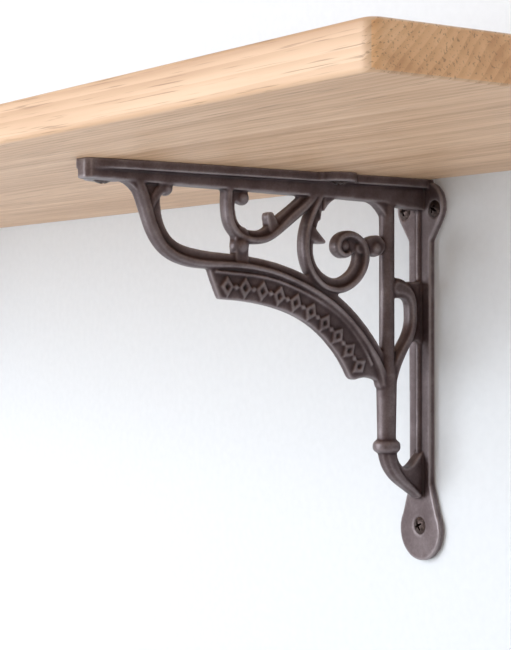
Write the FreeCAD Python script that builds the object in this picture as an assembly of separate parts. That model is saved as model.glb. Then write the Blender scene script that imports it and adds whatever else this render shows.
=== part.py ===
import FreeCAD, Part
import math
import os

# Wall shelf: one solid oak board carried by two identical cast-iron scroll brackets.
#
# Frame, in millimetres: X runs along the wall, +Y goes into the wall, +Z is up.
# The origin is on the wall face, at the level of the board's underside, at mid-length.
# Each bracket is drawn in its own plane as (out, down): the distance out from the wall and
# the distance down from the board. Screws and plugs are turned about their own axis.

# ---------------------------------------------------------------- driving sizes: board
BOARD_LENGTH = 1200.0
BOARD_DEPTH = 267.0
BOARD_THICKNESS = 18.0
BOARD_ARRIS = 2.0           # rounding along the board's long and end edges
BOARD_CORNER = 6.0          # rounding of its four upright corners
BRACKET_INSET = 288.0       # end of the board to the middle of a bracket

# ---------------------------------------------------------------- driving sizes: bracket
REACH = 210.0               # wall to the tip of the arm
DROP = 203.0                # board to the lowest point of the wall lug
PATTERN_REACH = 210.0       # the scrollwork is drawn for this reach and this drop,
PATTERN_DROP = 203.0        # and other brackets stretch it
RIB_THICKNESS = 8.6         # across the raised ribs, from face to face
RIB_EASE = 2.3              # depth over which a rib narrows towards its face
RIB_CROWN = 0.5             # width of a rib's face, as a share of the rib's width
PLATE_THICKNESS = 4.2       # across the thin web that backs the ribs
FLANGE_WIDTH = 16.0         # top of the arm, where the board lies
FLANGE_THICKNESS = 4.7
NOSE_WIDTH = 11.4
NOSE_WIDTH_BACK = 28.0      # length over which the nose widens to the flange
NOSE_DEPTH = 9.4
NOSE_CHAMFER = 2.6          # taken off the nose's two upright corners
POST_RADIUS = 4.1
STUB_TOP_RADIUS = 5.6       # stouter stub below the brace
STUB_FOOT_RADIUS = 4.9
SHOULDER_HEIGHT = 9.0       # cone between the stub and the post
COLLAR_RADIUS = 7.4
COLLAR_HEIGHT = 6.6
COLLAR_ROUND = 2.77
STRAP_WIDTH = 17.8          # flat strip that lies on the wall
STRAP_THICKNESS = 3.8
STRAP_WAIST = 17.0          # strap just above its foot
RIDGE_RADIUS = 1.8          # round bead down the strap's middle
HEAD_RADIUS = 13.0          # each of the two lobes at the top of the strap
HEAD_LOBE_OUT = 5.6         # centre of a lobe to the mid-plane
HEAD_LOBE_DOWN = 14.5
HEAD_FLARE = 18.0           # centre of a lobe down to where the strap is straight
HEAD_FLARE_TOP = 7.3
HEAD_FLARE_OUT = 16.4
LUG_RADIUS = 16.2           # round foot of the strap
LUG_FLARE = 9.0             # where the strap starts to widen, above the lug
LUG_FLARE_OUT = 14.8
LUG_FLARE_RISE = 5.4
EAR_RADIUS = 10.0           # screw ears on the arm
EAR_INSET = 1.8             # centre of an ear inside its screw
EAR_ROOT = 17.5             # half-length of an ear's root in the flange
EAR_NECK = 9.0              # half-length of the root at the ear
EAR_NECK_OUT = 11.0
FRONT_EAR_DEPTH = 9.2
ELBOW_THICKNESS = 6.8       # web beside the elbow, nearly as thick as the ribs
RELIEF = 1.1                # how far the banner's ornament stands up
ORNAMENTS = 10              # lozenges along the banner
LOZENGE_LENGTH = 7.4
LOZENGE_HEIGHT = 10.2
LOZENGE_HOLE = 0.42         # share of the lozenge that is hollow
PELLET_RADIUS = 1.2
TRIM = 40.0                 # oversize of the block that trims the scrollwork level with the arm

# ---------------------------------------------------------------- driving sizes: screws
SCREW_RADIUS = 2.4          # outside of the thread
CORE_RADIUS = 1.7           # root of the thread
THREAD_PITCH = 2.4
HEAD_DIAMETER = 9.2
HEAD_DEPTH = 2.9            # cone of the countersunk head
CROSS_WIDTH = 1.2           # blades of the cross recess
CROSS_LENGTH = 5.8
CROSS_DEPTH = 2.2
CROSS_POINT = 1.5           # radius at the bottom of the recess
THREAD_CREST = 0.45         # share of the pitch from a root to the next crest
HEAD_RECESS = 0.3           # rim of a wall screw's head below the iron
DOME_HEIGHT = 1.5           # raised part of every head
WALL_SCREW_LENGTH = 45.0
BOARD_SCREW_BITE = 12.0     # depth of the board screws in the board
CLEARANCE = 0.3             # screw shank to its hole in the iron
THREAD_GAP = 0.05           # thread to the bore it has cut in the board or the plug
EAR_SCREW_OUT = 9.5         # board screw to the bracket's mid-plane
REAR_EAR_OUT = 64.5         # wall to the rear ear's screw
FRONT_EAR_BACK = 17.0       # arm's tip to the front ear's screw
HEAD_SCREW_OUT = 12.2       # upper wall screws to the bracket's mid-plane
HEAD_SCREW_DOWN = 16.0      # board to the upper wall screws
LUG_SCREW_RISE = 2.3        # lower wall screw above the lug's centre
DRIVER_ROOM = 60.0          # kept clear in front of every screw

# ---------------------------------------------------------------- driving sizes: wall plugs
PLUG_WALL = 1.05            # from the bore to the outside
PLUG_LENGTH = 38.0
PLUG_RIM = 0.9
PLUG_RIM_WIDTH = 1.1        # how far the rim stands out
PLUG_RING_DEPTH = 0.45      # grooves between the gripping rings
PLUG_TIP_TAPER = 0.65
PLUG_TIP_LENGTH = 2.0
PLUG_RINGS = 6
PLUG_RING = 4.45            # length of one gripping ring
PLUG_RING_SLOPE = 0.8       # share of a ring that slopes
PLUG_SLOT = 0.8
PLUG_SLOT_DOWN = 6.9        # rim to the slot that lets the plug spread
PLUG_SLOT_LENGTH = 25.0

V = FreeCAD.Vector
ALONG_X = V(1, 0, 0)
UP = V(0, 0, 1)
INTO_WALL = V(0, 1, 0)

PLUG_BORE = SCREW_RADIUS + THREAD_GAP
PLUG_RADIUS = PLUG_BORE + PLUG_WALL
FRONT_EAR_OUT = REACH - FRONT_EAR_BACK
LUG_DOWN = DROP - LUG_RADIUS
LUG_SCREW_DOWN = LUG_DOWN - LUG_SCREW_RISE

# ---------------------------------------------------------------- scrollwork
# Each stroke is a list of stations (out, down, width), at the pattern's size.

BRACE_PLATE = [(175.4, 6, 18.8), (173, 16, 11.6), (169.6, 30, 8.6), (162.5, 39.8, 8.4),
               (151, 44.6, 8.8), (126, 46.5, 7.5), (100, 49.8, 7), (78, 57.4, 8),
               (59.4, 67.3, 7.9), (44.4, 80.2, 7.8), (34, 94, 8.6), (28.5, 107, 10)]
BRACE_RIB = [(181.3, 8, 6.6), (175.6, 20, 6.2), (170.7, 33, 5.6), (164.6, 41, 5.2),
             (151, 46.9, 5), (126, 48.2, 4.3), (104.8, 50.5, 3.8), (81.6, 57.8, 3.8),
             (59.3, 70, 4), (41, 87.6, 4.4), (34.2, 97, 5), (29.5, 108, 7)]
BEAD_LINE = [(135.6, 51.6, 1.3), (128, 52.2, 1.3), (104.5, 54.4, 1.3), (80.6, 61.8, 1.3),
             (57.6, 74.2, 1.3), (42.8, 90.4, 1.3), (38.2, 98, 1.3)]
SCROLL_PLATE = [(126, 5, 6.6), (126.8, 12, 6.2), (126.9, 21, 6.2), (125, 28, 6.4),
                (120.3, 32.6, 6.6), (114, 34.1, 6.8), (106, 33.2, 7.2), (99, 28.8, 8.5),
                (91, 23, 8.4), (83, 17, 8.4), (75, 9, 8.4)]
SCROLL_RIB = [(127.2, 5, 4.2), (128, 12, 4.2), (128, 21, 4.2), (126.2, 28.4, 4.2),
              (121, 33.7, 4.2), (114, 35.4, 4.2), (105.4, 34.5, 4.4), (98.1, 30.3, 5),
              (90.4, 24, 6), (82.4, 18, 6), (75, 10, 6)]
VOLUTE_PLATE = [(68, 5, 12), (73, 15, 8.4), (76.4, 25, 7.6), (79, 38, 6.6), (76.8, 48.2, 7.1),
                (70.4, 54.8, 7.6), (61.5, 57.5, 7.8), (52, 54.7, 8.4), (45.6, 48, 8.8),
                (44, 41.5, 9), (45.6, 36, 8)]
VOLUTE_RIB = [(70.2, 8, 4.5), (74, 16, 4.4), (77.5, 22.7, 4.4), (80, 30, 4.4),
              (80.8, 38, 4.2), (79, 47, 4), (71.8, 56.2, 4), (61.3, 59.6, 4),
              (50.6, 56.3, 4.4), (43.8, 49, 4.8), (41.9, 42.2, 5), (43.6, 35.8, 5),
              (48.2, 31.8, 4.6), (54.4, 31, 4.4), (59.4, 33.9, 4.2), (60, 38.6, 3.8),
              (56.6, 41.4, 3.4), (53.2, 40.4, 3)]
HOOK_RIB = [(21, 57.9, 10.6), (18, 58.3, 10.2), (14.1, 60, 8.2), (10.8, 64.2, 5.8),
            (9.9, 70, 5), (10.1, 77, 5.2), (12.5, 84, 5.8), (17, 91, 6.2),
            (21.1, 98, 7), (24.4, 106, 8)]
ELBOW_RIB = [(26, 142, 9.6), (25.3, 147.7, 9), (22.7, 153.6, 7.6), (18, 159, 5.8),
             (12.3, 163.4, 4.4), (6.4, 168, 3.4)]
CURL = [(173, 21, 3.4), (170.6, 16.4, 4), (167.4, 13.2, 4.8), (164, 11.6, 6)]
LEAF_TOP = [(100.8, 29.5, 5.8), (102, 25.5, 5), (102.7, 23, 4)]
LEAF_SIDE = [(77, 30.5, 6), (73, 33.6, 5), (69.6, 35, 2.4)]
BALL_NECK = [(123, 7, 9), (120.4, 13.6, 8.4)]
LINK_NECK = [(120.3, 33, 7.6), (120.3, 45, 7.6)]
SIDE_LINK = [(46, 37.8, 5), (40.8, 36.6, 8), (35.2, 36, 11)]

# Balls and the disc behind the volute's eye: (out, down, radius).
BALLS = [(118.9, 14.8, 3.8), (120.3, 38.6, 5), (163.8, 12, 3.9), (102.7, 23.3, 2.4),
         (55.8, 36.6, 3.7), (35.2, 37.4, 4.6), (20.4, 58.6, 4.3)]
EYE_DISC = (55.3, 36.2, 6.8)

# Hollow corners: (out, down) of the corner, then the length of each leg.
GUSSETS = [(71, 11, 13, 14), (69.4, 11.5, -16, 8), (27, 12, 16, 15), (29, 12, -13, 13), (177, 8.5, 18, 13)]
GUSSET_HOLLOW = 0.32        # share of the legs that the hollow curve leaves filled

# Outlines of the banner, of the webs beside the strap and of the arm's underside: (out, down).
BANNER_LEFT = [(139.6, 47.8), (138.6, 52), (135.3, 60), (133.6, 63.8)]
BANNER_TURN = (132.7, 65)
BANNER_FOOT = [(131, 65.3), (103.1, 68.4), (79.8, 76.5), (62.3, 90.2), (53, 102.9)]
BANNER_TAIL = (51.2, 105.3)
BANNER_RIGHT = [(48.4, 106.1), (40.2, 105), (33, 107)]
BANNER_BACK = [(33, 98), (41, 87.4), (59.3, 69.8), (81.6, 57.6), (104.8, 50.5), (126, 48.2), (139.6, 47.8)]
ORNAMENT_LINE = [(129, 59), (104, 61.6), (82.5, 68.6), (62.5, 81.6), (46.5, 99)]
HOOK_WEB_TOP = [(13, 54.3), (8.5, 54.6), (2, 53.6)]
HOOK_WEB_FOOT = [(2, 90), (6.6, 86.2), (11, 87.4)]
ELBOW_INNER = [(22, 142.5), (21.3, 146.2), (19, 150.8), (15.2, 153.1), (11, 151.6), (6.8, 147.4), (2, 143.6)]
ELBOW_OUTER = [(2, 171), (8, 166.8), (13, 163.2), (18.6, 159.2), (23.6, 154)]
ARM_UNDERSIDE = [(60, 12.4), (30, 13.2), (16, 15.5), (0, 16.5)]
POST_TOP = (26, 8)
STUB_TOP = (26.2, 104)
STUB_FOOT = (26.2, 143)
COLLAR_MIDDLE = (26.2, 141.4)


def place(out, down):
    """A pattern point, stretched to this bracket's reach and drop."""
    return V(0, -out * REACH / PATTERN_REACH, -down * DROP / PATTERN_DROP)


def places(points):
    return [place(out, down) for out, down in points]


def spline(points):
    """An edge that runs smoothly through these points."""
    curve = Part.BSplineCurve()
    curve.interpolate(points)
    return curve.toShape()


def line(start, end):
    return Part.LineSegment(start, end).toShape()


def arc(start, middle, end):
    return Part.Arc(start, middle, end).toShape()


def closed_wire(edges):
    return Part.Wire(Part.__sortEdges__(edges))


def slab(edges, thickness):
    """A flat outline in the bracket's plane, given this thickness about the mid-plane."""
    face = Part.Face(closed_wire(edges))
    face.translate(ALONG_X * (-thickness / 2))
    return face.extrude(ALONG_X * thickness)


def stroke_edges(stations, share):
    """Outline of a bar with round ends that takes its width, times this share, from the stations."""
    middle = places([(out, down) for out, down, width in stations])
    path = Part.BSplineCurve()
    path.interpolate(middle)
    left = []
    right = []
    ends = []
    for point, (out, down, width) in zip(middle, stations):
        along = path.tangent(path.parameter(point))[0]
        half = width * share / 2
        across = V(0, -along.z, along.y) * half
        left.append(point + across)
        right.append(point - across)
        ends.append(along * half)
    first_cap = arc(left[0], middle[0] - ends[0], right[0])
    last_cap = arc(left[-1], middle[-1] + ends[-1], right[-1])
    return [spline(left), last_cap, spline(right), first_cap]


def stroke(stations, thickness):
    return slab(stroke_edges(stations, 1), thickness)


def rib(stations, thickness):
    """A stroke whose long edges slope in towards both faces, as a casting's do."""
    half = thickness / 2
    layers = [(-half, RIB_CROWN), (RIB_EASE - half, 1), (half - RIB_EASE, 1), (half, RIB_CROWN)]
    wires = []
    for offset, share in layers:
        wire = closed_wire(stroke_edges(stations, share))
        wire.translate(ALONG_X * offset)
        wires.append(wire)
    return Part.makeLoft(wires, True, True)


def disc(centre, radius, thickness):
    return Part.makeCylinder(radius, thickness, centre - ALONG_X * (thickness / 2), ALONG_X)


def polygon(corners):
    """Straight edges round a list of points."""
    return Part.makePolygon(corners + corners[:1]).Edges


def gusset(out, down, out_leg, down_leg):
    """Outline that fills the corner between the arm and an upright with a hollow curve."""
    corner = place(out, down)
    level = place(out + out_leg, down)
    plumb = place(out, down + down_leg)
    hollow = corner + (level - corner) * GUSSET_HOLLOW + (plumb - corner) * GUSSET_HOLLOW
    return [line(corner, level), arc(level, hollow, plumb), line(plumb, corner)]


# ---------------------------------------------------------------- bracket pieces
def nose_plan(half):
    """Plan of the arm's free end: this half-width, narrowed to the nose."""
    back = NOSE_WIDTH_BACK - REACH
    nose = NOSE_WIDTH / 2
    shoulder = NOSE_CHAMFER - REACH
    right = [V(half, back, 0), V(nose, shoulder, 0), V(nose - NOSE_CHAMFER, -REACH, 0)]
    return right + [V(-point.x, point.y, 0) for point in right[::-1]]


def lowered(corners, depth):
    """A flat outline at the level of the board, carried down by this depth."""
    return Part.Face(closed_wire(polygon(corners))).extrude(UP * -depth)


def arm_flange():
    """Top of the arm, narrowed to the nose, with its two staggered screw ears."""
    half = FLANGE_WIDTH / 2
    flange = lowered([V(-half, 0, 0), V(half, 0, 0)] + nose_plan(half), FLANGE_THICKNESS)
    ears = []
    for aside, out, depth in board_screw_places().values():
        ears.append(screw_ear(aside, out, depth))
    return [flange] + ears


def screw_ear(aside, out, thickness):
    """A round ear with a tapering root into the flange."""
    side = math.copysign(1, aside)
    pad = Part.makeCylinder(EAR_RADIUS, thickness, V(aside - side * EAR_INSET, -out, 0), UP * -1)
    waist = side * FLANGE_WIDTH / 4
    neck = side * EAR_NECK_OUT
    root = [V(waist, -out - EAR_ROOT, 0), V(neck, -out - EAR_NECK, 0), V(neck, -out + EAR_NECK, 0),
            V(waist, -out + EAR_ROOT, 0)]
    return pad.fuse(lowered(root, FLANGE_THICKNESS))


def arm_web():
    """Upright part of the arm below its flange: deeper at the wall, thicker at the nose."""
    tip = REACH - NOSE_CHAMFER
    side = [(tip, 0), (tip, NOSE_DEPTH)] + ARM_UNDERSIDE + [(0, 0)]
    corners = [V(0, -out, -down) for out, down in side]
    return [slab(polygon(corners), RIB_THICKNESS), lowered(nose_plan(RIB_THICKNESS / 2), NOSE_DEPTH)]


def scrolls():
    """Thin plates, the ribs that stand proud of them, and the smaller leaves, links and balls."""
    between = (RIB_THICKNESS + PLATE_THICKNESS) / 2
    solids = [stroke(each, PLATE_THICKNESS) for each in (BRACE_PLATE, SCROLL_PLATE, VOLUTE_PLATE, BALL_NECK)]
    solids += [rib(each, RIB_THICKNESS) for each in (BRACE_RIB, SCROLL_RIB, VOLUTE_RIB, HOOK_RIB, ELBOW_RIB)]
    solids += [stroke(each, between) for each in (CURL, LEAF_TOP, LEAF_SIDE, LINK_NECK, SIDE_LINK)]
    solids += [Part.makeSphere(radius, place(out, down)) for out, down, radius in BALLS]
    out, down, radius = EYE_DISC
    solids.append(disc(place(out, down), radius, PLATE_THICKNESS))
    solids += [slab(gusset(*each), between) for each in GUSSETS]
    return solids


def banner_outline():
    """The plate that hangs below the brace: two shaped ends and a long curved foot."""
    left = places(BANNER_LEFT)
    foot = places(BANNER_FOOT)
    right = places(BANNER_RIGHT)
    back = places(BANNER_BACK)
    turn = arc(left[-1], place(*BANNER_TURN), foot[0])
    tail = arc(foot[-1], place(*BANNER_TAIL), right[0])
    return [spline(left), turn, spline(foot), tail, spline(right), line(right[-1], back[0]), spline(back)]


def lozenge(centre, along, thickness):
    """A raised diamond ring that stands square to the banner's curve."""
    across = V(0, -along.z, along.y)
    rings = []
    for share in (1, LOZENGE_HOLE):
        length = along * (LOZENGE_LENGTH / 2 * share)
        height = across * (LOZENGE_HEIGHT / 2 * share)
        corners = [centre + length, centre + height, centre - length, centre - height]
        rings.append(slab(polygon(corners), thickness))
    return rings[0].cut(rings[1])


def banner():
    """Plate, its fine bead line, and a generic row of lozenges with pellets between them."""
    proud = PLATE_THICKNESS + 2 * RELIEF
    pieces = [slab(banner_outline(), PLATE_THICKNESS), stroke(BEAD_LINE, proud)]
    curve = Part.BSplineCurve()
    curve.interpolate(places(ORNAMENT_LINE))
    for number, point in enumerate(curve.discretize(Number=2 * ORNAMENTS - 1)):
        if number % 2 == 0:
            pieces.append(lozenge(point, curve.tangent(curve.parameter(point))[0], proud))
        else:
            pieces.append(disc(point, PELLET_RADIUS, proud))
    return pieces


def posts():
    """Round inner post, the stouter stub under the brace, and its collar."""
    top = place(*POST_TOP)
    joint = place(*STUB_TOP)
    foot = place(*STUB_FOOT)
    post = Part.makeCylinder(POST_RADIUS, top.z - joint.z, V(0, top.y, joint.z), UP)
    stub = Part.makeCone(STUB_FOOT_RADIUS, STUB_TOP_RADIUS, joint.z - foot.z, foot, UP)
    shoulder = Part.makeCone(STUB_TOP_RADIUS, POST_RADIUS, SHOULDER_HEIGHT, joint, UP)
    ring_foot = place(*COLLAR_MIDDLE) - UP * (COLLAR_HEIGHT / 2)
    ring = Part.makeCylinder(COLLAR_RADIUS, COLLAR_HEIGHT, ring_foot, UP)
    rims = [edge for edge in ring.Edges if edge.isClosed() and isinstance(edge.Curve, Part.Circle)]
    return [post, stub, shoulder, ring.makeFillet(COLLAR_ROUND, rims)]


def corner_webs():
    """Webs that tie the hook and the elbow to the strap."""
    outlines = [(HOOK_WEB_TOP, HOOK_WEB_FOOT, PLATE_THICKNESS), (ELBOW_INNER, ELBOW_OUTER, ELBOW_THICKNESS)]
    webs = []
    for first, last, thickness in outlines:
        upper = places(first)
        lower = places(last)
        edges = [spline(upper), line(upper[-1], lower[0]), spline(lower), line(lower[-1], upper[0])]
        webs.append(slab(edges, thickness))
    return webs


def wall_plate():
    """Strap against the wall, with two lobes at its head and a round lug at its foot."""
    half = STRAP_WIDTH / 2
    waist = STRAP_WAIST / 2
    outward = INTO_WALL * -1
    neck = LUG_DOWN - LUG_RADIUS - LUG_FLARE
    edge = [(HEAD_FLARE_OUT, HEAD_LOBE_DOWN + HEAD_FLARE_TOP), (half, HEAD_LOBE_DOWN + HEAD_FLARE),
            (waist, neck), (LUG_FLARE_OUT, LUG_DOWN - LUG_FLARE_RISE)]
    corners = [V(-aside, 0, -down) for aside, down in edge]
    corners += [V(aside, 0, -down) for aside, down in edge[::-1]]
    strap = Part.Face(closed_wire(polygon(corners))).extrude(outward * STRAP_THICKNESS)
    lobes = [Part.makeCylinder(HEAD_RADIUS, STRAP_THICKNESS, V(aside, 0, -HEAD_LOBE_DOWN), outward)
             for aside in (-HEAD_LOBE_OUT, HEAD_LOBE_OUT)]
    lug = Part.makeCylinder(LUG_RADIUS, STRAP_THICKNESS, V(0, 0, -LUG_DOWN), outward)
    head = Part.makeBox(2 * HEAD_LOBE_OUT, STRAP_THICKNESS, HEAD_LOBE_DOWN,
                        V(-HEAD_LOBE_OUT, -STRAP_THICKNESS, -HEAD_LOBE_DOWN))
    ridge = Part.makeCylinder(RIDGE_RADIUS, neck, V(0, -STRAP_THICKNESS, -neck), UP)
    return lobes + [lug, strap, head, ridge]


def wall_screw_places():
    """Where the three wall screws go: (distance from the mid-plane, distance down), by name.

    The two upper ones are named for their own side, seen from the front.
    """
    return {"upper_left": (-HEAD_SCREW_OUT, HEAD_SCREW_DOWN),
            "upper_right": (HEAD_SCREW_OUT, HEAD_SCREW_DOWN),
            "lower": (0, LUG_SCREW_DOWN)}


def board_screw_places():
    """Where the two board screws go: (distance from the mid-plane, distance out, depth of the iron)."""
    return {"rear": (EAR_SCREW_OUT, REAR_EAR_OUT, FLANGE_THICKNESS),
            "front": (-EAR_SCREW_OUT, FRONT_EAR_OUT, FRONT_EAR_DEPTH)}


def countersink(seat, inward):
    """The space a countersunk screw needs: its cone, its shank and the way in from outside."""
    head = HEAD_DIAMETER / 2
    cone = Part.makeCone(head, CORE_RADIUS, HEAD_DEPTH, seat, inward)
    hole = Part.makeCylinder(SCREW_RADIUS + CLEARANCE, DRIVER_ROOM, seat, inward)
    entry = Part.makeCylinder(head + CLEARANCE, DRIVER_ROOM, seat, inward * -1)
    return cone.fuse([hole, entry])


def joined(solids):
    return solids[0].multiFuse(solids[1:])


def bracket():
    """One casting, in its own plane at X = 0."""
    wall_holes = []
    for aside, down in wall_screw_places().values():
        wall_holes.append(countersink(V(aside, HEAD_RECESS - STRAP_THICKNESS, -down), INTO_WALL))
    board_holes = []
    for aside, out, depth in board_screw_places().values():
        board_holes.append(countersink(V(aside, -out, -depth), UP))
    wall = joined(wall_plate()).cut(wall_holes).removeSplitter()
    arm = joined(arm_flange() + arm_web()).cut(board_holes).removeSplitter()
    above = Part.makeBox(2 * TRIM, REACH + 2 * TRIM, TRIM, V(-TRIM, -REACH - TRIM, 0))
    scrollwork = joined(scrolls() + posts() + corner_webs()).cut(above)
    return wall.multiFuse([arm, scrollwork, joined(banner())]).removeSplitter()


# ---------------------------------------------------------------- board, screws and plugs
def board(pilot_holes):
    """One solid plank, rounded at its corners and along every edge, and drilled from below."""
    corner = V(-BOARD_LENGTH / 2, -BOARD_DEPTH, 0)
    plank = Part.makeBox(BOARD_LENGTH, BOARD_DEPTH, BOARD_THICKNESS, corner)
    uprights = [edge for edge in plank.Edges if edge.BoundBox.ZLength > BOARD_THICKNESS / 2]
    plank = plank.makeFillet(BOARD_CORNER, uprights)
    rims = [edge for edge in plank.Edges if edge.BoundBox.ZLength < BOARD_THICKNESS / 2]
    plank = plank.makeFillet(BOARD_ARRIS, rims)
    depth = BOARD_SCREW_BITE + THREAD_GAP
    drills = [Part.makeCylinder(SCREW_RADIUS + THREAD_GAP, depth, seat, UP) for seat in pilot_holes]
    return plank.cut(Part.makeCompound(drills))


def screw(length):
    """A raised countersunk wood screw: rim of the head at the origin, shank along -Z, cross recess above."""
    head = HEAD_DIAMETER / 2
    curve = (head ** 2 + DOME_HEIGHT ** 2) / (2 * DOME_HEIGHT)
    half_angle = math.asin(head / curve) / 2
    crown = V(curve * math.sin(half_angle), 0, DOME_HEIGHT - curve * (1 - math.cos(half_angle)))
    first_turn = HEAD_DEPTH + THREAD_PITCH / 2
    turns = int((length - first_turn - THREAD_PITCH) / THREAD_PITCH)
    profile = [V(head, 0, 0), V(CORE_RADIUS, 0, -HEAD_DEPTH), V(CORE_RADIUS, 0, -first_turn)]
    for turn in range(turns):
        start = first_turn + turn * THREAD_PITCH
        profile.append(V(SCREW_RADIUS, 0, -start - THREAD_PITCH * THREAD_CREST))
        profile.append(V(CORE_RADIUS, 0, -start - THREAD_PITCH))
    profile.append(V(0, 0, -length))
    profile.append(V(0, 0, DOME_HEIGHT))
    edges = Part.makePolygon(profile).Edges + [arc(profile[-1], crown, profile[0])]
    body = Part.Face(Part.Wire(edges)).revolve(V(0, 0, 0), UP, 360)
    return body.cut(cross_recess())


def cross_recess():
    """Two crossed blades that narrow to a blunt point."""
    bottom = DOME_HEIGHT - CROSS_DEPTH
    long_half = CROSS_LENGTH / 2
    thin_half = CROSS_WIDTH / 2
    first = Part.makeBox(CROSS_LENGTH, CROSS_WIDTH, CROSS_DEPTH, V(-long_half, -thin_half, bottom))
    second = Part.makeBox(CROSS_WIDTH, CROSS_LENGTH, CROSS_DEPTH, V(-thin_half, -long_half, bottom))
    point = Part.makeCone(CROSS_POINT, long_half, CROSS_DEPTH, V(0, 0, bottom), UP)
    return first.fuse(second).common(point)


def wall_plug():
    """A slotted plastic plug: rim at the origin, body along -Z, bored for the screw."""
    rim = PLUG_RADIUS + PLUG_RIM_WIDTH
    first_ring = PLUG_LENGTH - PLUG_RINGS * PLUG_RING - PLUG_TIP_LENGTH
    profile = [V(PLUG_BORE, 0, 0), V(rim, 0, 0), V(PLUG_RADIUS, 0, -PLUG_RIM)]
    profile.append(V(PLUG_RADIUS, 0, -first_ring))
    for number in range(PLUG_RINGS):
        start = first_ring + number * PLUG_RING
        profile.append(V(PLUG_RADIUS - PLUG_RING_DEPTH, 0, -start))
        profile.append(V(PLUG_RADIUS, 0, -start - PLUG_RING * PLUG_RING_SLOPE))
        profile.append(V(PLUG_RADIUS, 0, -start - PLUG_RING))
    profile.append(V(PLUG_RADIUS - PLUG_TIP_TAPER, 0, -PLUG_LENGTH))
    profile.append(V(PLUG_BORE, 0, -PLUG_LENGTH))
    tube = Part.Face(closed_wire(polygon(profile))).revolve(V(0, 0, 0), UP, 360)
    corner = V(-rim, -PLUG_SLOT / 2, -PLUG_SLOT_DOWN - PLUG_SLOT_LENGTH)
    slot = Part.makeBox(2 * rim, PLUG_SLOT, PLUG_SLOT_LENGTH, corner)
    return tube.cut(slot)


def aimed(shape, seat, direction):
    """Moves a turned piece so that its -Z axis points along direction from the seat."""
    moved = shape.copy()
    moved.Placement = FreeCAD.Placement(seat, FreeCAD.Rotation(UP * -1, direction))
    return moved


def build():
    """Every piece of the shelf, by node name."""
    nodes = {}
    casting = bracket()
    wall_screw = screw(WALL_SCREW_LENGTH)
    plug = wall_plug()
    pilot_holes = []
    for side, sign in (("left", -1), ("right", 1)):
        middle = V(sign * (BOARD_LENGTH / 2 - BRACKET_INSET), 0, 0)
        moved = casting.copy()
        moved.translate(middle)
        nodes["bracket_" + side] = moved
        for spot, (aside, down) in wall_screw_places().items():
            in_wall = middle + V(aside, 0, -down)
            in_iron = in_wall + INTO_WALL * (HEAD_RECESS - STRAP_THICKNESS)
            nodes["wall_screw_" + side + "_" + spot] = aimed(wall_screw, in_iron, INTO_WALL)
            nodes["wall_plug_" + side + "_" + spot] = aimed(plug, in_wall, INTO_WALL)
        for spot, (aside, out, depth) in board_screw_places().items():
            seat = middle + V(aside, -out, -depth)
            board_screw = screw(depth + BOARD_SCREW_BITE)
            nodes["board_screw_" + side + "_" + spot] = aimed(board_screw, seat, UP)
            pilot_holes.append(middle + V(aside, -out, 0))
    nodes["board"] = board(pilot_holes)
    return nodes


os.makedirs("parts", exist_ok=True)
for name, shape in build().items():
    shape.exportStep("parts/" + name + ".step")
    print(name, "solids", len(shape.Solids), "valid", shape.isValid(), "volume", round(shape.Volume))
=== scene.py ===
import math

import bpy
import numpy as np
from mathutils import Matrix, Vector


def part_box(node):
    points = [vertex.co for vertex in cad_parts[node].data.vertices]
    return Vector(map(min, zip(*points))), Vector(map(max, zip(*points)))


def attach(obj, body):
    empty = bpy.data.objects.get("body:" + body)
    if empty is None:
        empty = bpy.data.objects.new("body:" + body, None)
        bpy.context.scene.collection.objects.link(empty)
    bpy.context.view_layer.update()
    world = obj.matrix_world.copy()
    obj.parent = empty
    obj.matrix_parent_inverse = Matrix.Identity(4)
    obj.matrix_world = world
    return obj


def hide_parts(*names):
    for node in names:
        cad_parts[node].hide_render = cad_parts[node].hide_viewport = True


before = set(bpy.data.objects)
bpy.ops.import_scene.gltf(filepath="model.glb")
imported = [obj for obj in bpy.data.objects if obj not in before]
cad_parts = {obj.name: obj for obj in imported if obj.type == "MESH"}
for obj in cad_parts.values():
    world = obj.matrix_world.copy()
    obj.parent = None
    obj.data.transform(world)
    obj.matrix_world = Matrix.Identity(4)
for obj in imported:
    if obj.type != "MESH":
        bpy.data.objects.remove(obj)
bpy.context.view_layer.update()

# A plank shelf on two cast-iron scroll brackets. Metres; X along the wall, +Y into it, +Z up.
MM = 0.001
DOUBLES = 0.001 * MM          # points closer than this are one
SIDES = ("left", "right")
WALL_SPOTS = ("upper_left", "upper_right", "lower")
BOARD_SPOTS = ("rear", "front")
INTO_WALL = Vector((0, 1, 0))

# Board
ARRIS = 2.0 * MM              # rounding of the long and end edges
ARRIS_SEGMENTS = 5
CORNER = 6.0 * MM             # rounding of the upright corners
CORNER_SEGMENTS = 8
ARRIS_ANGLE = math.radians(50)    # edges sharper than this get the arris
BOARD_SMOOTH = 30             # degrees, up to which an edge shades as a curve
END_FACE = 0.72               # least share along X of the normal of an end-grain face
PILOT_RADIUS = 2.45 * MM
PILOT_DEPTH = 12.0 * MM

# Castings
CASTING_GRAIN = 0.55 * MM     # size of the skin's cells while the edges are softened
EDGE_SOFTENING = 7            # passes that round the cast edges
CREST_PASSES = 28             # passes that tell ridges from hollows
CREST_DEPTH = 0.42 * MM       # height of a full ridge over the smoothed skin
CASTING_FACES = 180000
SMOOTH_FACTOR = 0.5           # how far one pass moves a point towards its neighbours

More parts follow.
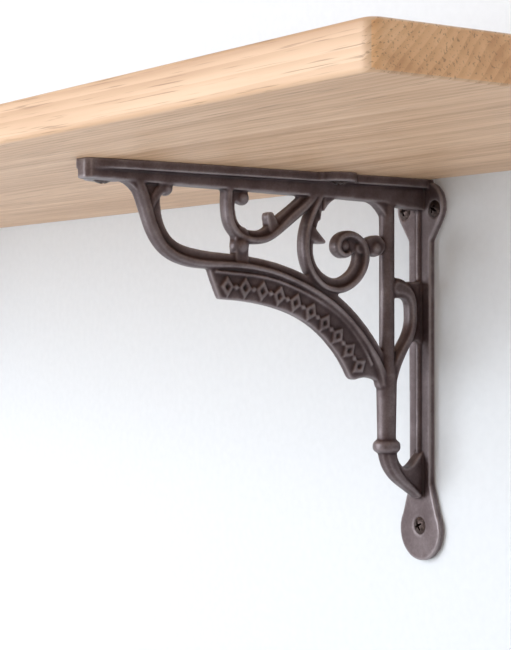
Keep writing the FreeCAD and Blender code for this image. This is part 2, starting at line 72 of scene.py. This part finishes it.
# Screws
HEAD_RADIUS = 4.6 * MM
HEAD_DEPTH = 2.9 * MM
HEAD_EDGE = 0.18 * MM         # narrow rim round the head
CORE_RADIUS = 1.7 * MM
CREST_RADIUS = 2.4 * MM
THREAD_PITCH = 2.4 * MM
THREAD_STEPS = 28
THREAD_HALF = 0.62 * MM       # half the thread's width at its root
THREAD_ROOT = 0.94            # its root's radius as a share of the core's, so that it is sunk in
POINT_LENGTH = 3.5 * MM
CROSS_REACH = 3.1 * MM        # centre to the end of a blade
CROSS_HALF = 0.72 * MM        # half a blade's width at the face
CROSS_DEPTH = 2.2 * MM
CROSS_CLEAR = 0.3 * MM        # cutter above the head
CROSS_POINT = 0.5             # size of the recess at its bottom, as a share
DOME_HEIGHT = 1.5 * MM
DOME_STEPS = 7
LATHE_STEPS = 48
SCREW_SMOOTH = 32             # degrees, as for the board
SCREW_TURNS = (0.22, 1.31, 0.74, 0.09, 1.02, 0.48, 0.35, 1.12, 0.6, 0.95)


# ------------------------------------------------------------------ making pieces
def only(piece):
    """Leaves this piece alone selected and active, in object mode."""
    if bpy.context.object and bpy.context.object.mode != "OBJECT":
        bpy.ops.object.mode_set(mode="OBJECT")
    bpy.ops.object.select_all(action="DESELECT")
    piece.select_set(True)
    bpy.context.view_layer.objects.active = piece


def new_piece(name):
    """Names the piece that an operator has just added and settles it at the origin."""
    piece = bpy.context.object
    piece.name = name
    piece.data.name = name
    only(piece)
    bpy.ops.object.transform_apply(location=True, rotation=True, scale=True)
    return piece


def modify(piece, kind, **settings):
    """Adds one modifier to the piece and applies it."""
    only(piece)
    modifier = piece.modifiers.new(kind.title(), kind)
    for key, value in settings.items():
        setattr(modifier, key, value)
    bpy.ops.object.modifier_apply(modifier=modifier.name)


def placed(piece, matrix):
    piece.data.transform(matrix)
    piece.data.update()
    return piece


def copy_of(piece, name, matrix):
    """A copy with its own mesh, moved into place."""
    twin = piece.copy()
    twin.data = piece.data.copy()
    twin.name = name
    twin.data.name = name
    bpy.context.scene.collection.objects.link(twin)
    return placed(twin, matrix)


def smooth(piece, degrees):
    only(piece)
    bpy.ops.object.shade_smooth_by_angle(angle=math.radians(degrees))


def outward(piece):
    """Merges doubles and turns every face outwards."""
    only(piece)
    bpy.ops.object.mode_set(mode="EDIT")
    bpy.ops.mesh.select_all(action="SELECT")
    bpy.ops.mesh.remove_doubles(threshold=DOUBLES)
    bpy.ops.mesh.normals_make_consistent(inside=False)
    bpy.ops.object.mode_set(mode="OBJECT")


def axis_of(node):
    """Middle of a turned CAD node: the axis it is turned about."""
    low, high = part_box(node)
    return (low + high) / 2


def finish_piece(piece, node, material):
    """The piece stands for this CAD node and takes this finish."""
    piece.data.materials.clear()
    piece.data.materials.append(material)
    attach(piece, "root")
    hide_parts(node)


# ------------------------------------------------------------------ materials
def linear(code):
    """An sRGB hex colour as a linear colour."""
    channels = [int(code[i:i + 2], 16) / 255 for i in (1, 3, 5)]
    return [c / 12.92 if c <= 0.04045 else ((c + 0.055) / 1.055) ** 2.4 for c in channels] + [1]


def add(tree, kind, settings=(), inputs=()):
    """Adds a node with its settings; an input is a value or another node's output."""
    node = tree.nodes.new(kind)
    for key, value in dict(settings).items():
        setattr(node, key, value)
    for key, value in dict(inputs).items():
        if isinstance(value, bpy.types.NodeSocket):
            tree.links.new(value, node.inputs[key])
        else:
            node.inputs[key].default_value = value
    return node


def material(name):
    """A new material: its tree, its shader and its object coordinates."""
    made = bpy.data.materials.new(name)
    made.use_nodes = True
    tree = made.node_tree
    shader = tree.nodes["Principled BSDF"]
    place = add(tree, "ShaderNodeTexCoord").outputs["Object"]
    return made, tree, shader, place


def ramp_stops(node, stops):
    """Sets a colour ramp to these (position, hex colour) stops."""
    elements = node.color_ramp.elements
    while len(elements) < len(stops):
        elements.new(0.5)
    for element, (position, code) in zip(elements, stops):
        element.position = position
        element.color = linear(code)


def waxed_cast_iron():
    # Sand-cast grey iron, browned and waxed: a dark brown skin with the sand's fine pits. Its ridges are
    # painted a lighter grey-brown, partly rubbed wear and partly painted highlight, and its hollows nearly
    # black, partly wax and partly painted shade.
    made, tree, shader, place = material("waxed_cast_iron")
    crest_wear_and_painted_light = add(tree, "ShaderNodeAttribute", {"attribute_name": "crest_wear_and_painted_light"}).outputs["Fac"]
    blotch = add(tree, "ShaderNodeTexNoise", inputs={"Vector": place, "Scale": 1 / (14 * MM), "Detail": 5.0,
                                                    "Roughness": 0.6}).outputs["Fac"]
    grit = add(tree, "ShaderNodeTexNoise", inputs={"Vector": place, "Scale": 1 / (1.1 * MM), "Detail": 3.0,
                                                  "Roughness": 0.55}).outputs["Fac"]
    pits = add(tree, "ShaderNodeTexNoise", inputs={"Vector": place, "Scale": 1 / (3.2 * MM), "Detail": 2.0,
                                                  "Roughness": 0.5}).outputs["Fac"]
    # Random blotches plus the crest share, which carries rubbed wear and wax together with painted highlight
    # on ridges and painted shade in hollows.
    blotch_wear_and_painted_light = add(tree, "ShaderNodeMath", {"operation": "MULTIPLY_ADD"},
                 {0: blotch, 1: 0.5, 2: crest_wear_and_painted_light}).outputs[0]
    level = add(tree, "ShaderNodeMath", {"operation": "MULTIPLY_ADD"},
                {0: grit, 1: 0.16, 2: blotch_wear_and_painted_light}).outputs[0]
    spread = add(tree, "ShaderNodeMapRange", inputs={"Value": level, "From Min": 0.35,
                                                     "From Max": 1.3}).outputs[0]
    tone = add(tree, "ShaderNodeValToRGB", inputs={"Fac": spread})
    # Near black in the hollows to grey on the ridges: wax and rubbed wear, together with painted shade in the
    # hollows and a painted highlight on the ridges.
    ramp_stops(tone, [(0.08, "#120a0a"), (0.33, "#3a2829"), (0.5, "#504142"), (0.62, "#625556"),
                      (0.85, "#8b8183")])
    tree.links.new(tone.outputs["Color"], shader.inputs["Base Color"])
    shader.inputs["Metallic"].default_value = 0.35
    gloss = add(tree, "ShaderNodeMapRange", inputs={"Value": blotch_wear_and_painted_light, "From Min": 0.45, "From Max": 1.1,
                                                    "To Min": 0.52, "To Max": 0.36}).outputs[0]
    tree.links.new(gloss, shader.inputs["Roughness"])
    relief = add(tree, "ShaderNodeMath", {"operation": "MULTIPLY_ADD"},
                 {0: pits, 1: 1.6, 2: grit}).outputs[0]
    bump = add(tree, "ShaderNodeBump", inputs={"Height": relief, "Strength": 0.5, "Distance": 0.16 * MM})
    tree.links.new(bump.outputs["Normal"], shader.inputs["Normal"])
    return made


def oiled_oak(name, end_grain_painted_lighter):
    # European oak, sawn, sanded and oiled: pale tan earlywood and browner latewood in rings about
    # 3 mm apart, which run as long lines on the faces and as arcs on the ends, with fine dark pores.
    made, tree, shader, place = material(name)
    wander = add(tree, "ShaderNodeMapping", inputs={"Vector": place, "Scale": (0.9, 9.0, 9.0)}).outputs[0]
    sway = add(tree, "ShaderNodeTexNoise", inputs={"Vector": wander, "Scale": 1.6, "Detail": 2.0,
                                                  "Roughness": 0.45}).outputs["Color"]
    swayed = add(tree, "ShaderNodeVectorMath", {"operation": "MULTIPLY_ADD"},
                 {0: sway, 1: (0, 26 * MM, 34 * MM), 2: place}).outputs[0]
    pith = add(tree, "ShaderNodeMapping", inputs={"Vector": swayed, "Location": (0, 0.118, 0.062),
                                                  "Scale": (0.0, 1.0, 1.0)}).outputs[0]
    radius = add(tree, "ShaderNodeVectorMath", {"operation": "LENGTH"}, {0: pith}).outputs["Value"]
    rings = add(tree, "ShaderNodeMath", {"operation": "MULTIPLY"}, {0: radius, 1: 1 / (3.1 * MM)}).outputs[0]
    phase = add(tree, "ShaderNodeMath", {"operation": "FRACT"}, {0: rings}).outputs[0]
    ring = add(tree, "ShaderNodeMapRange", {"interpolation_type": "SMOOTHSTEP"},
               {"Value": phase, "From Min": 0.15, "From Max": 0.95}).outputs[0]
    cell_size = (1 / (38 * MM), 1 / (0.9 * MM), 1 / (0.9 * MM))
    cells = add(tree, "ShaderNodeMapping", inputs={"Vector": swayed, "Scale": cell_size}).outputs[0]
    pores = add(tree, "ShaderNodeTexNoise", inputs={"Vector": cells, "Scale": 1.0, "Detail": 2.0,
                                                   "Roughness": 0.55}).outputs["Fac"]
    band_size = (1 / (260 * MM), 1 / (13 * MM), 1 / (13 * MM))
    broad = add(tree, "ShaderNodeMapping", inputs={"Vector": swayed, "Scale": band_size}).outputs[0]
    bands = add(tree, "ShaderNodeTexNoise", inputs={"Vector": broad, "Scale": 1.0, "Detail": 3.0,
                                                   "Roughness": 0.5}).outputs["Fac"]
    shade = add(tree, "ShaderNodeMath", {"operation": "MULTIPLY_ADD"},
                {0: ring, 1: 0.16, 2: bands}).outputs[0]
    tone = add(tree, "ShaderNodeValToRGB", inputs={"Fac": shade})
    # The end grain takes a lighter, more orange ramp: partly its own oiled end-grain tone, partly painted
    # light that lifts the shaded ends.
    if end_grain_painted_lighter:
        ramp_stops(tone, [(0.3, "#eabb8c"), (0.52, "#e0ae7e"), (0.8, "#cb9768")])
    else:
        ramp_stops(tone, [(0.3, "#dcbb9b"), (0.52, "#d0ab89"), (0.8, "#b9926f")])
    open_pores = add(tree, "ShaderNodeMapRange", {"interpolation_type": "SMOOTHSTEP"},
                     {"Value": pores, "From Min": 0.56, "From Max": 0.72, "To Min": 0.0, "To Max": 0.6})
    coloured = add(tree, "ShaderNodeMix", {"data_type": "RGBA"},
                   {"Factor": open_pores.outputs[0], 6: tone.outputs["Color"], 7: linear("#83603f")})
    tree.links.new(coloured.outputs[2], shader.inputs["Base Color"])
    shader.inputs["Roughness"].default_value = 0.5
    bump = add(tree, "ShaderNodeBump", {"invert": True}, {"Height": open_pores.outputs[0], "Strength": 0.35,
                                                         "Distance": 0.12 * MM})
    tree.links.new(bump.outputs["Normal"], shader.inputs["Normal"])
    return made


def bronzed_steel():
    # Wood screws chemically browned to match the iron: dark, a little glossier, rubbed bright in specks.
    made, tree, shader, place = material("bronzed_screw_steel")
    mottle = add(tree, "ShaderNodeTexNoise", inputs={"Vector": place, "Scale": 1 / (1.6 * MM), "Detail": 4.0,
                                                    "Roughness": 0.6}).outputs["Fac"]
    tone = add(tree, "ShaderNodeValToRGB", inputs={"Fac": mottle})
    ramp_stops(tone, [(0.3, "#2a211e"), (0.55, "#463936"), (0.8, "#7a6b64")])
    tree.links.new(tone.outputs["Color"], shader.inputs["Base Color"])
    shader.inputs["Metallic"].default_value = 0.8
    shader.inputs["Roughness"].default_value = 0.38
    bump = add(tree, "ShaderNodeBump", inputs={"Height": mottle, "Strength": 0.25, "Distance": 0.05 * MM})
    tree.links.new(bump.outputs["Normal"], shader.inputs["Normal"])
    return made


def moulded_nylon():
    # Injection-moulded nylon 6: an even, slightly waxy skin with a faint mould texture.
    made, tree, shader, place = material("moulded_nylon")
    texture = add(tree, "ShaderNodeTexNoise", inputs={"Vector": place, "Scale": 1 / (0.8 * MM), "Detail": 2.0,
                                                     "Roughness": 0.5}).outputs["Fac"]
    tone = add(tree, "ShaderNodeValToRGB", inputs={"Fac": texture})
    ramp_stops(tone, [(0.35, "#9c3a2c"), (0.65, "#ad4a3a")])
    tree.links.new(tone.outputs["Color"], shader.inputs["Base Color"])
    shader.inputs["Roughness"].default_value = 0.46
    shader.inputs["Subsurface Weight"].default_value = 0.08
    bump = add(tree, "ShaderNodeBump", inputs={"Height": texture, "Strength": 0.2, "Distance": 0.04 * MM})
    tree.links.new(bump.outputs["Normal"], shader.inputs["Normal"])
    return made


IRON = waxed_cast_iron()
OAK = oiled_oak("oiled_oak_long_grain", False)
# The end-grain copy of the oak is painted lighter than the long grain: painted light on the shaded ends.
OAK_END_PAINTED_LIGHTER = oiled_oak("oiled_oak_end_grain_painted_lighter", True)
STEEL = bronzed_steel()
NYLON = moulded_nylon()


# ------------------------------------------------------------------ oak board
def oak_board():
    low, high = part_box("board")
    size = high - low
    bpy.ops.object.select_all(action="DESELECT")
    bpy.ops.mesh.primitive_cube_add(size=1, location=(low + high) / 2, scale=size)
    board = new_piece("oak_board")
    weights = board.data.attributes.new("bevel_weight_edge", "FLOAT", "EDGE")
    for edge in board.data.edges:
        first, last = [board.data.vertices[i].co for i in edge.vertices]
        weights.data[edge.index].value = 1.0 if abs(first.z - last.z) > ARRIS else 0.0
    modify(board, "BEVEL", width=CORNER, segments=CORNER_SEGMENTS, limit_method="WEIGHT")
    modify(board, "BEVEL", width=ARRIS, segments=ARRIS_SEGMENTS, limit_method="ANGLE",
           angle_limit=ARRIS_ANGLE)
    for side in SIDES:
        for spot in BOARD_SPOTS:
            seat = axis_of("board_screw_" + side + "_" + spot)
            bpy.ops.object.select_all(action="DESELECT")
            bpy.ops.mesh.primitive_cylinder_add(vertices=LATHE_STEPS, radius=PILOT_RADIUS,
                                                depth=2 * PILOT_DEPTH, location=(seat.x, seat.y, 0))
            drill = new_piece("drill")
            modify(board, "BOOLEAN", operation="DIFFERENCE", object=drill, solver="EXACT")
            bpy.data.objects.remove(drill)
    smooth(board, BOARD_SMOOTH)
    finish_piece(board, "board", OAK)
    board.data.materials.append(OAK_END_PAINTED_LIGHTER)
    for face in board.data.polygons:
        face.material_index = 1 if abs(face.normal.x) > END_FACE else 0


# ------------------------------------------------------------------ castings
def mark_crests(piece):
    """Stores how far each point stands over the smoothed skin: 0 in hollows, 1 on ridges."""
    smoothed = piece.copy()
    smoothed.data = piece.data.copy()
    bpy.context.scene.collection.objects.link(smoothed)
    modify(smoothed, "SMOOTH", factor=SMOOTH_FACTOR, iterations=CREST_PASSES)
    count = len(piece.data.vertices)
    points = np.empty(count * 3, np.float32)
    level = np.empty(count * 3, np.float32)
    normals = np.empty(count * 3, np.float32)
    piece.data.vertices.foreach_get("co", points)
    smoothed.data.vertices.foreach_get("co", level)
    piece.data.vertices.foreach_get("normal", normals)
    height = ((points - level) * normals).reshape(-1, 3).sum(1)
    share = np.clip(0.5 + height / (2 * CREST_DEPTH), 0, 1).astype(np.float32)
    # The iron's colour reads this share: rubbed wear and wax, together with painted shade in the hollows and
    # a painted highlight on the ridges.
    piece.data.attributes.new("crest_wear_and_painted_light", "FLOAT", "POINT").data.foreach_set("value", share)
    bpy.data.objects.remove(smoothed)


def soft_casting(name, node):
    """The casting with the rounded edges and filled corners that sand casting leaves."""
    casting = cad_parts[node].copy()
    casting.data = casting.data.copy()
    for key in list(casting.keys()):
        del casting[key]
    casting.parent = None
    casting.name = name
    casting.data.name = name
    bpy.context.scene.collection.objects.link(casting)
    outward(casting)
    modify(casting, "REMESH", mode="VOXEL", voxel_size=CASTING_GRAIN)
    modify(casting, "SMOOTH", factor=SMOOTH_FACTOR, iterations=EDGE_SOFTENING)
    mark_crests(casting)
    modify(casting, "TRIANGULATE")
    share = min(1, CASTING_FACES / len(casting.data.polygons))
    modify(casting, "DECIMATE", ratio=share)
    only(casting)
    bpy.ops.object.shade_smooth()
    return casting


# ------------------------------------------------------------------ screws
def lathe(name, profile):
    """Turns a profile of (radius, height) points about Z into a closed piece."""
    mesh = bpy.data.meshes.new(name)
    mesh.from_pydata([(radius, 0, height) for radius, height in profile],
                     [(i, i + 1) for i in range(len(profile) - 1)], [])
    piece = bpy.data.objects.new(name, mesh)
    bpy.context.scene.collection.objects.link(piece)
    only(piece)
    bpy.ops.object.mode_set(mode="EDIT")
    bpy.ops.mesh.select_all(action="SELECT")
    bpy.ops.mesh.spin(steps=LATHE_STEPS, angle=math.tau, center=(0, 0, 0), axis=(0, 0, 1))
    bpy.ops.object.mode_set(mode="OBJECT")
    outward(piece)
    return piece


def cross_cutter():
    """A tapered cross that cuts the recess."""
    middle = DOME_HEIGHT - CROSS_DEPTH / 2
    bpy.ops.object.select_all(action="DESELECT")
    bpy.ops.mesh.primitive_cube_add(size=1, location=(0, 0, middle),
                                    scale=(2 * CROSS_HALF, 2 * CROSS_HALF, CROSS_DEPTH))
    cutter = new_piece("cross_cutter")
    bpy.ops.object.mode_set(mode="EDIT")
    for axis in (0, 1):
        for sign in (-1, 1):
            bpy.ops.mesh.select_all(action="DESELECT")
            bpy.ops.object.mode_set(mode="OBJECT")
            for face in cutter.data.polygons:
                face.select = face.normal[axis] * sign > 0.9 and abs(face.center[1 - axis]) < CROSS_HALF * 0.5
            bpy.ops.object.mode_set(mode="EDIT")
            move = [0, 0, 0]
            move[axis] = sign * (CROSS_REACH - CROSS_HALF)
            bpy.ops.mesh.extrude_region_move(TRANSFORM_OT_translate={"value": move})
    bpy.ops.object.mode_set(mode="OBJECT")
    for vertex in cutter.data.vertices:
        if vertex.co.z < middle:
            vertex.co.x *= CROSS_POINT
            vertex.co.y *= CROSS_POINT
        else:
            vertex.co.z += CROSS_CLEAR
    outward(cutter)
    return cutter


def thread(name, start, length):
    """A helical ridge about the core, closed at both ends."""
    turns = int(length / THREAD_PITCH)
    root = CORE_RADIUS * THREAD_ROOT
    mesh = bpy.data.meshes.new(name)
    section = [(root, 0, start + THREAD_HALF), (CREST_RADIUS, 0, start), (root, 0, start - THREAD_HALF)]
    mesh.from_pydata(section, [(0, 1), (1, 2), (2, 0)], [])
    piece = bpy.data.objects.new(name, mesh)
    bpy.context.scene.collection.objects.link(piece)
    modify(piece, "SCREW", angle=math.tau, screw_offset=-THREAD_PITCH, iterations=turns, steps=THREAD_STEPS,
           render_steps=THREAD_STEPS, axis="Z", use_merge_vertices=True, merge_threshold=DOUBLES)
    bpy.ops.object.mode_set(mode="EDIT")
    bpy.ops.mesh.select_all(action="DESELECT")
    bpy.ops.mesh.select_non_manifold(extend=False, use_wire=False, use_boundary=True, use_multi_face=False,
                                     use_non_contiguous=False, use_verts=False)
    bpy.ops.mesh.edge_face_add()
    bpy.ops.mesh.select_all(action="SELECT")
    bpy.ops.mesh.fill_holes(sides=4)
    bpy.ops.object.mode_set(mode="OBJECT")
    outward(piece)
    return piece


def wood_screw(name, length):
    """Rim of the raised head at the origin, shank along -Z, cross recess above."""
    curve = (HEAD_RADIUS ** 2 + DOME_HEIGHT ** 2) / (2 * DOME_HEIGHT)
    profile = [(0, DOME_HEIGHT)]
    for step in range(1, DOME_STEPS):
        out = HEAD_RADIUS * step / DOME_STEPS
        profile.append((out, DOME_HEIGHT - curve + math.sqrt(curve ** 2 - out ** 2)))
    profile += [(HEAD_RADIUS, 0), (HEAD_RADIUS, -HEAD_EDGE), (CORE_RADIUS, -HEAD_DEPTH),
                (CORE_RADIUS, POINT_LENGTH - length), (0, -length)]
    body = lathe(name, profile)
    cutter = cross_cutter()
    modify(body, "BOOLEAN", operation="DIFFERENCE", object=cutter, solver="EXACT")
    bpy.data.objects.remove(cutter)
    threaded = length - HEAD_DEPTH - 2 * THREAD_PITCH - POINT_LENGTH / 2
    ridge = thread(name + "_thread", -HEAD_DEPTH - THREAD_PITCH, threaded)
    only(ridge)
    body.select_set(True)
    bpy.context.view_layer.objects.active = body
    bpy.ops.object.join()
    smooth(body, SCREW_SMOOTH)
    return body


def turned_into_wall(node, turn):
    """Places a screw that points along -Z on this node's axis, pointing into the wall."""
    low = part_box(node)[0]
    middle = axis_of(node)
    aim = Vector((0, 0, -1)).rotation_difference(INTO_WALL).to_matrix().to_4x4()
    return Matrix.Translation((middle.x, low.y + DOME_HEIGHT, middle.z)) @ aim @ Matrix.Rotation(turn, 4, "Z")


def turned_into_board(node, turn):
    """Places such a screw on this node's axis, pointing up into the board."""
    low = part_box(node)[0]
    middle = axis_of(node)
    aim = Matrix.Rotation(math.pi, 4, "X")
    return Matrix.Translation((middle.x, middle.y, low.z + DOME_HEIGHT)) @ aim @ Matrix.Rotation(turn, 4, "Z")


def screws():
    turns = iter(SCREW_TURNS)
    low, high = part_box("wall_screw_left_lower")
    master = wood_screw("wall_screw", high.y - low.y - DOME_HEIGHT)
    for side in SIDES:
        for spot in WALL_SPOTS:
            node = "wall_screw_" + side + "_" + spot
            piece = copy_of(master, "steel_" + node, turned_into_wall(node, next(turns)))
            finish_piece(piece, node, STEEL)
    bpy.data.objects.remove(master)
    for spot in BOARD_SPOTS:
        low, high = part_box("board_screw_left_" + spot)
        master = wood_screw("board_screw", high.z - low.z - DOME_HEIGHT)
        for side in SIDES:
            node = "board_screw_" + side + "_" + spot
            piece = copy_of(master, "steel_" + node, turned_into_board(node, next(turns)))
            finish_piece(piece, node, STEEL)
        bpy.data.objects.remove(master)


# ------------------------------------------------------------------ build the shelf
oak_board()

left_casting = soft_casting("iron_bracket_left", "bracket_left")
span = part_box("bracket_right")[0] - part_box("bracket_left")[0]
right_casting = copy_of(left_casting, "iron_bracket_right", Matrix.Translation(span))
finish_piece(left_casting, "bracket_left", IRON)
finish_piece(right_casting, "bracket_right", IRON)

screws()

for side in SIDES:
    for spot in WALL_SPOTS:
        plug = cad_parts["wall_plug_" + side + "_" + spot]
        plug.data.materials.clear()
        plug.data.materials.append(NYLON)

# ------------------------------------------------------------------ studio
FLOOR_LEVEL = -1.4
FLOOR_HALF = 4.4              # half the width of the floor and of the wall
WALL_FACE = 0.2 * MM          # just clear of the backs of the castings
SKIM = 2 * MM                 # closer than this, the backdrop lets light through


def seen_from_the_room(tree, shader):
    """Lets light and sight through from behind, and within a skim of the surface.

    The plugs, the backs of the castings and the underside can then be looked at in the other views.
    """
    behind = add(tree, "ShaderNodeNewGeometry").outputs["Backfacing"]
    travelled = add(tree, "ShaderNodeLightPath").outputs["Ray Length"]
    near = add(tree, "ShaderNodeMath", {"operation": "LESS_THAN"}, {0: travelled, 1: SKIM}).outputs[0]
    open_way = add(tree, "ShaderNodeMath", {"operation": "MAXIMUM"}, {0: behind, 1: near}).outputs[0]
    see_through = add(tree, "ShaderNodeBsdfTransparent").outputs[0]
    mixed = add(tree, "ShaderNodeMixShader", inputs={"Fac": open_way, 1: shader.outputs["BSDF"],
                                                     2: see_through})
    tree.links.new(mixed.outputs[0], tree.nodes["Material Output"].inputs["Surface"])


def matt_paint(name, grain, stops):
    # Plain matt paint: one pale tone with the faintest roller texture.
    made, tree, shader, place = material(name)
    texture = add(tree, "ShaderNodeTexNoise", inputs={"Vector": place, "Scale": 1 / grain,
                                                     "Detail": 2.0}).outputs["Fac"]
    tone = add(tree, "ShaderNodeValToRGB", inputs={"Fac": texture})
    ramp_stops(tone, stops)
    tree.links.new(tone.outputs["Color"], shader.inputs["Base Color"])
    shader.inputs["Roughness"].default_value = 0.8
    seen_from_the_room(tree, shader)
    return made


def backdrop(name, paint, middle, tilt):
    """A large painted square that belongs to the studio and not to the shelf."""
    bpy.ops.object.select_all(action="DESELECT")
    bpy.ops.mesh.primitive_plane_add(size=2 * FLOOR_HALF, location=middle, rotation=(tilt, 0, 0))
    sheet = new_piece(name)
    sheet.data.materials.append(paint)


def soft_light(name, place, target, size, watts, code):
    """A large square lamp that faces the target."""
    lamp = bpy.data.lights.new(name, "AREA")
    lamp.shape = "SQUARE"
    lamp.size = size
    lamp.energy = watts
    lamp.color = linear(code)[:3]
    stand = bpy.data.objects.new(name, lamp)
    stand.location = place
    stand.rotation_euler = (Vector(target) - Vector(place)).to_track_quat("-Z", "Y").to_euler()
    bpy.context.scene.collection.objects.link(stand)


def pale_surroundings():
    """A pale room: brightest low down, duller above, and warmer to the right."""
    world = bpy.data.worlds.new("pale_room")
    bpy.context.scene.world = world
    world.use_nodes = True
    tree = world.node_tree
    background = tree.nodes["Background"]
    direction = add(tree, "ShaderNodeTexCoord").outputs["Generated"]
    parts = add(tree, "ShaderNodeSeparateXYZ", inputs={"Vector": direction})
    height = add(tree, "ShaderNodeMapRange", inputs={"Value": parts.outputs["Z"], "From Min": -0.2,
                                                     "From Max": 0.2})
    tone = add(tree, "ShaderNodeValToRGB", inputs={"Fac": height.outputs[0]})
    ramp_stops(tone, [(0.1, "#fcfcfc"), (0.42, "#f1f3f5"), (0.58, "#dfe0e2"), (0.75, "#c3c2c2"),
                      (1.0, "#b4b3b3")])
    aside = add(tree, "ShaderNodeMapRange", inputs={"Value": parts.outputs["X"], "From Min": -0.3,
                                                    "From Max": 0.9})
    warm = add(tree, "ShaderNodeMix", {"data_type": "RGBA", "blend_type": "MULTIPLY"},
               {"Factor": aside.outputs[0], 6: tone.outputs["Color"], 7: linear("#dccfc2")})
    tree.links.new(warm.outputs[2], background.inputs["Color"])
    background.inputs["Strength"].default_value = 1.0


floor_paint = matt_paint("pale_matt_floor_paint", 12 * MM, [(0.3, "#e4e3e1"), (0.7, "#eae9e7")])
backdrop("floor", floor_paint, (0, 0, FLOOR_LEVEL), 0)
wall_paint = matt_paint("pale_matt_wall_paint", 5 * MM, [(0.3, "#d5d8db"), (0.7, "#d8dbde")])
backdrop("wall", wall_paint, (0, WALL_FACE, FLOOR_LEVEL + FLOOR_HALF), math.pi / 2)
pale_surroundings()
soft_light("window", (-1.2, -3.0, 0.5), (0.1, -0.2, -0.05), 2.8, 132, "#f2f8ff")
soft_light("ceiling", (0.3, -1.4, 2.6), (0, -0.1, 0), 2.5, 20, "#ffffff")

# ------------------------------------------------------------------ camera
eye = bpy.data.cameras.new("camera")
eye.sensor_fit = "AUTO"
eye.sensor_width = 36
eye.lens = 97.75
camera = bpy.data.objects.new("camera", eye)
camera.location = (1.0354, -0.6150, -0.0843)
camera.rotation_euler = (math.radians(90.42), 0, math.radians(55.1))
bpy.context.scene.collection.objects.link(camera)
bpy.context.scene.camera = camera
bpy.context.scene.view_settings.view_transform = "Standard"
